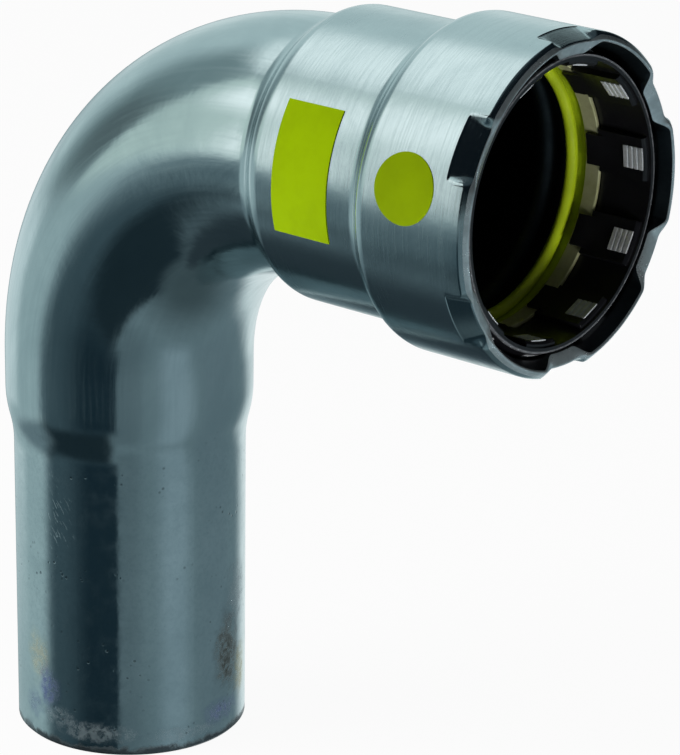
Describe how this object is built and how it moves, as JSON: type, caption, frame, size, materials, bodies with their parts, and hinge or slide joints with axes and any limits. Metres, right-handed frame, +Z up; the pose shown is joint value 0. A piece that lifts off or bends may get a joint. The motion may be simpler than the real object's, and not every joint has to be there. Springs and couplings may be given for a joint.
{
  "type": "press fit elbow",
  "caption": "Right-angle steel press elbow: a stepped pipe socket holds a seal, a separator ring and a bladed retaining ring, and a plain tube end fits another socket.",
  "frame": {"origin": "middle of the plain end's face, on the plain leg's axis", "axes": "+Z up the plain leg, +X out of the socket's mouth, the elbow lies in the XZ plane"},
  "size_m": [0.0971, 0.0455, 0.1168],
  "materials": {
    "plated_steel": "satin zinc-nickel plate, fine turning marks",
    "lime_rubber": "moulded, slightly oiled",
    "stainless": "pressed sheet, satin",
    "black_plastic": "moulded, semi-gloss",
    "blade_steel": "ground bright",
    "lime_ink": "printed ink, matt"
  },
  "bodies": {
    "root": {"fitting_body": "plated_steel", "profile_seal": "lime_rubber", "separator_ring": "stainless", "retaining_ring": "black_plastic", "grip_blades": "blade_steel", "marking_field": "lime_ink", "marking_dot": "lime_ink"}
  },
  "joints": []
}
